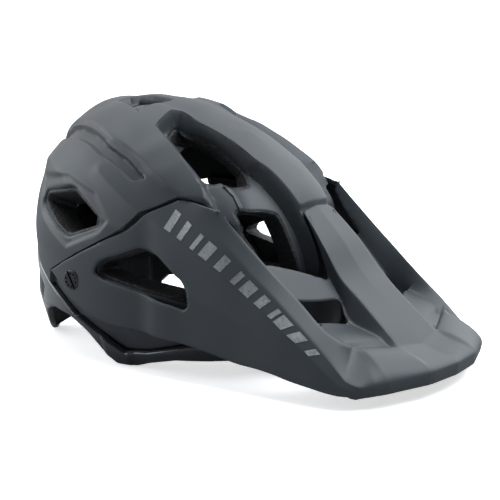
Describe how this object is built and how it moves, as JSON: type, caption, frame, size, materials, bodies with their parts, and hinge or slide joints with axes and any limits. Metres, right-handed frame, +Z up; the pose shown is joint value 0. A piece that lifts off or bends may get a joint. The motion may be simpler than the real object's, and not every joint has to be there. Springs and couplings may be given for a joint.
{
  "type": "cycling helmet",
  "caption": "Trail cycling helmet with vented matte shell, gloss lower shell, tilting visor, foam liner, pads, tucked chin straps and a dial fit cradle",
  "frame": {"origin": "centre of the bounding box at the level of the rim the helmet stands on", "axes": "+Z up, visor towards -Y, wearer's left towards +X"},
  "size_m": [0.212, 0.3679, 0.1899],
  "materials": {
    "matte_shell": "matte dark blue-grey in-mould shell, fine satin grain",
    "matte_visor": "matte dark blue-grey moulded visor with a silver graphic on each rail",
    "gloss_shell": "gloss dark grey polycarbonate",
    "foam": "black expanded polystyrene, fine beaded grain",
    "black_plastic": "black moulded nylon, lightly textured",
    "screw": "black moulded screw head with a coin slot",
    "brass": "plain brass insert",
    "pad_fabric": "charcoal knitted pad cover, welded edges",
    "hook_tape": "hook tape discs",
    "webbing": "black woven polyester webbing",
    "acetal": "dark grey acetal",
    "grip_rubber": "ribbed soft rubber",
    "spring_steel": "spring steel strip"
  },
  "bodies": {
    "helmet": {"outer_shell": "matte_shell", "lower_shell": "gloss_shell", "eps_liner": "foam", "insect_mesh": "black_plastic", "height_post": "black_plastic", "visor_screw_left": "screw", "screw_insert_left": "brass", "temple_guide_left": "black_plastic", "crown_pad_left": "pad_fabric", "side_pad_left": "pad_fabric", "strap_front_left": "webbing", "strap_rear_left": "webbing", "strap_lower_left": "webbing", "strap_divider_left": "black_plastic", "strap_anchor_front_left": "black_plastic", "strap_anchor_rear_left": "black_plastic", "visor_screw_right": "screw", "screw_insert_right": "brass", "temple_guide_right": "black_plastic", "crown_pad_right": "pad_fabric", "side_pad_right": "pad_fabric", "strap_front_right": "webbing", "strap_rear_right": "webbing", "strap_lower_right": "webbing", "strap_divider_right": "black_plastic", "strap_anchor_front_right": "black_plastic", "strap_anchor_rear_right": "black_plastic", "brow_pad": "pad_fabric", "crown_pad_centre": "pad_fabric", "pad_discs": "hook_tape", "buckle_male": "black_plastic", "buckle_female": "black_plastic", "chin_pad": "pad_fabric"},
    "visor": {"visor": "matte_visor"},
    "cradle": {"cradle_yoke": "black_plastic", "dial_housing": "black_plastic", "cradle_pad": "pad_fabric"},
    "dial": {"dial_pinion": "acetal", "dial_knob": "black_plastic", "dial_grip": "grip_rubber", "click_spring": "spring_steel"},
    "band_left": {"fit_band_left": "acetal"},
    "band_right": {"fit_band_right": "acetal"}
  },
  "joints": [
    {"name": "visor_tilt", "type": "hinge", "parent": "helmet", "child": "visor", "pos_m": [0, 0.084, 0.06], "axis": [-1, 0, 0], "range_deg": [0, 12]},
    {"name": "cradle_height", "type": "slide", "parent": "helmet", "child": "cradle", "axis": [0, 0, 1], "range_m": [0, 0.006]},
    {"name": "fit_dial", "type": "hinge", "parent": "cradle", "child": "dial", "pos_m": [0, 0.1396, 0.038], "axis": [0, -1, 0], "range_deg": [0, 155]},
    {"name": "band_slide_left", "type": "hinge", "parent": "cradle", "child": "band_left", "pos_m": [0, 0.066, 0.038], "axis": [0, 0, 1], "range_deg": [0, 8]},
    {"name": "band_slide_right", "type": "hinge", "parent": "cradle", "child": "band_right", "pos_m": [0, 0.066, 0.038], "axis": [0, 0, -1], "range_deg": [0, 8]}
  ],
  "couplings": [
    {"joint": "band_slide_left", "follows": "fit_dial", "ratio": 0.0515},
    {"joint": "band_slide_right", "follows": "fit_dial", "ratio": 0.0515}
  ]
}
